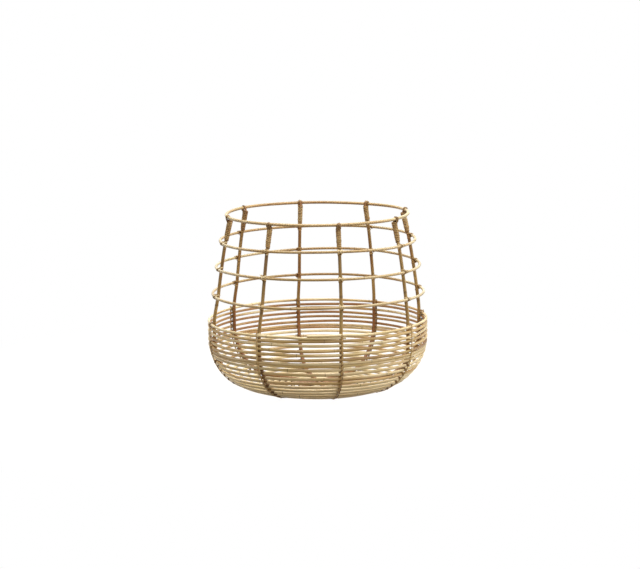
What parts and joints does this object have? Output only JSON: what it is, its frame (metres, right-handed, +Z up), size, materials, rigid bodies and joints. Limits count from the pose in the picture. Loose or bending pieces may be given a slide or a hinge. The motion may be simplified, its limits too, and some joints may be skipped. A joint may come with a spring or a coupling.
{
  "type": "round rattan basket",
  "caption": "Round open basket of bent rattan rods: wide low band of close hoops, open tapering neck, bound rim.",
  "frame": {"origin": "on the floor under the middle of the basket", "axes": "+Z up along the basket's axis; +X and -Y point to the middle of a gap between two stakes"},
  "size_m": [0.5014, 0.5014, 0.4057],
  "materials": {
    "stake": "natural rattan rod, satin",
    "hoop": "natural rattan rod, satin",
    "outer_cane": "split rattan cane, satin",
    "peel": "rattan peel binding, matt"
  },
  "bodies": {
    "root": {"stake_1": "stake", "stake_2": "stake", "stake_3": "stake", "stake_4": "stake", "stake_5": "stake", "stake_6": "stake", "stake_7": "stake", "stake_8": "stake", "rim_binding_1": "peel", "rim_binding_2": "peel", "rim_binding_3": "peel", "rim_binding_4": "peel", "rim_binding_5": "peel", "rim_binding_6": "peel", "rim_binding_7": "peel", "rim_binding_8": "peel", "outer_cane_1": "outer_cane", "outer_cane_2": "outer_cane", "outer_cane_3": "outer_cane", "outer_cane_4": "outer_cane", "outer_cane_5": "outer_cane", "outer_cane_6": "outer_cane", "outer_cane_7": "outer_cane", "outer_cane_8": "outer_cane", "rim_hoop": "hoop", "neck_hoop_1": "hoop", "neck_hoop_2": "hoop", "neck_hoop_3": "hoop", "band_hoop_01": "hoop", "band_hoop_02": "hoop", "band_hoop_03": "hoop", "band_hoop_04": "hoop", "band_hoop_05": "hoop", "band_hoop_06": "hoop", "band_hoop_07": "hoop", "band_hoop_08": "hoop", "band_hoop_09": "hoop", "band_hoop_10": "hoop", "band_hoop_11": "hoop", "band_hoop_12": "hoop", "band_hoop_13": "hoop", "band_hoop_14": "hoop", "band_hoop_15": "hoop", "band_hoop_16": "hoop", "band_hoop_17": "hoop", "band_hoop_18": "hoop", "base_hoop_1": "hoop", "base_hoop_2": "hoop", "base_hoop_3": "hoop", "base_hoop_4": "hoop", "base_hoop_5": "hoop", "base_hoop_6": "hoop", "base_hoop_7": "hoop"}
  },
  "joints": []
}
